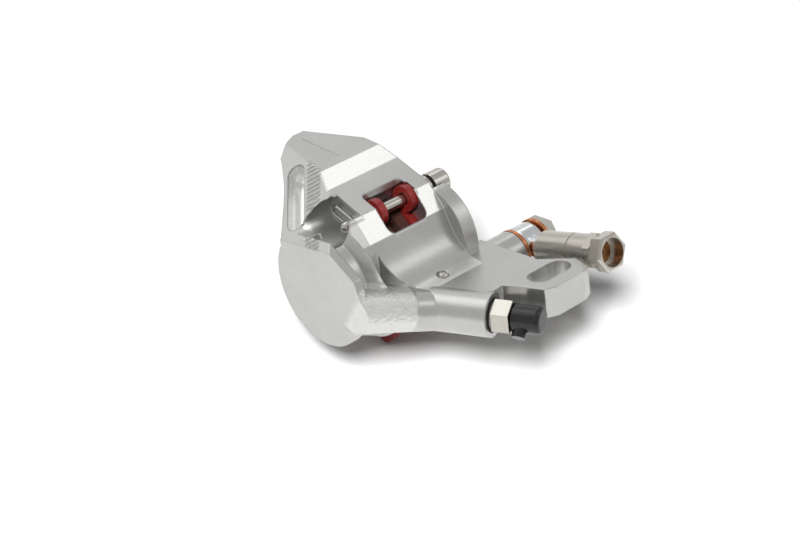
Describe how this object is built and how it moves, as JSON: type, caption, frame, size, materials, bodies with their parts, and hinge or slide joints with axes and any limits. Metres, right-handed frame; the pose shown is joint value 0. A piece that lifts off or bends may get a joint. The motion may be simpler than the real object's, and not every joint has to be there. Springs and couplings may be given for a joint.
{
  "type": "bicycle disc brake caliper",
  "caption": "Machined post-mount hydraulic disc brake caliper with opposed pistons, pad pin, bleed nipple and swivelling banjo hose connection",
  "frame": {"origin": "midway between the centres of the mounting slots, on the faces that sit on the posts", "axes": "X from ear to ear, Y across the rotor with -Y to the wheel, Z along the mounting bolts away from the posts"},
  "size_m": [0.0912, 0.0654, 0.048],
  "materials": {
    "machined_aluminium": "machined satin, fine tool marks",
    "piston_alloy": "hard anodised, turned",
    "magnet": "plated",
    "seal_rubber": "matt black",
    "pad_paint": "dark red paint, satin",
    "friction_material": "sintered, rough",
    "pin_steel": "stainless, turned",
    "spring_wire": "drawn wire",
    "nipple_nickel": "nickel plated",
    "cap_rubber": "satin black",
    "copper": "bright copper",
    "bolt_steel": "nickel plated",
    "fitting_silver": "silver anodised",
    "connector_nickel": "warm grey nickel, satin",
    "brass": "brass"
  },
  "bodies": {
    "caliper": {"caliper_body": "machined_aluminium", "bore_cap": "machined_aluminium", "bore_cap_seal": "seal_rubber", "outboard_piston_seal": "seal_rubber", "inboard_piston_seal": "seal_rubber", "pad_pin": "pin_steel", "pad_pin_washer": "pin_steel", "pad_pin_ring": "seal_rubber", "pad_pin_collar": "pin_steel", "pad_pin_clip": "spring_wire", "banjo_bolt": "bolt_steel", "banjo_inner_washer": "copper", "banjo_outer_washer": "copper", "bleed_seal_ring": "seal_rubber", "transfer_port_plug": "pin_steel"},
    "outboard_piston": {"outboard_piston": "piston_alloy", "outboard_piston_magnet": "magnet"},
    "inboard_piston": {"inboard_piston": "piston_alloy", "inboard_piston_magnet": "magnet"},
    "outboard_pad": {"outboard_pad_plate": "pad_paint", "outboard_friction_pad": "friction_material"},
    "inboard_pad": {"inboard_pad_plate": "pad_paint", "inboard_friction_pad": "friction_material"},
    "bleed_nipple": {"bleed_nipple": "nipple_nickel"},
    "bleed_cap": {"bleed_cap": "cap_rubber"},
    "hose_fitting": {"banjo_fitting": "fitting_silver", "connector_ring": "fitting_silver", "hose_barrel": "connector_nickel", "hose_nut": "connector_nickel", "hose_olive": "brass", "hose_insert": "brass"}
  },
  "joints": [
    {"name": "outboard_piston_slide", "type": "slide", "parent": "caliper", "child": "outboard_piston", "axis": [0, 1, 0], "range_m": [0, 0.001]},
    {"name": "inboard_piston_slide", "type": "slide", "parent": "caliper", "child": "inboard_piston", "axis": [0, -1, 0], "range_m": [0, 0.001]},
    {"name": "outboard_pad_slide", "type": "slide", "parent": "caliper", "child": "outboard_pad", "axis": [0, 1, 0], "range_m": [0, 0.001]},
    {"name": "inboard_pad_slide", "type": "slide", "parent": "caliper", "child": "inboard_pad", "axis": [0, -1, 0], "range_m": [0, 0.001]},
    {"name": "bleed_nipple_turn", "type": "hinge", "parent": "caliper", "child": "bleed_nipple", "pos_m": [0.0342, -0.0173, 0.0026], "axis": [0.9272, 0.3746, 0], "range_deg": [0, 180]},
    {"name": "bleed_cap_pull", "type": "slide", "parent": "bleed_nipple", "child": "bleed_cap", "axis": [0.9272, 0.3746, 0], "range_m": [0, 0.009]},
    {"name": "hose_fitting_swing", "type": "hinge", "parent": "caliper", "child": "hose_fitting", "pos_m": [0.0138, 0.0145, 0.0024], "axis": [0, 1, 0], "range_deg": [-75, 20]}
  ],
  "couplings": [
    {"joint": "inboard_piston_slide", "follows": "outboard_piston_slide", "ratio": 1},
    {"joint": "outboard_pad_slide", "follows": "outboard_piston_slide", "ratio": 1},
    {"joint": "inboard_pad_slide", "follows": "outboard_piston_slide", "ratio": 1}
  ]
}
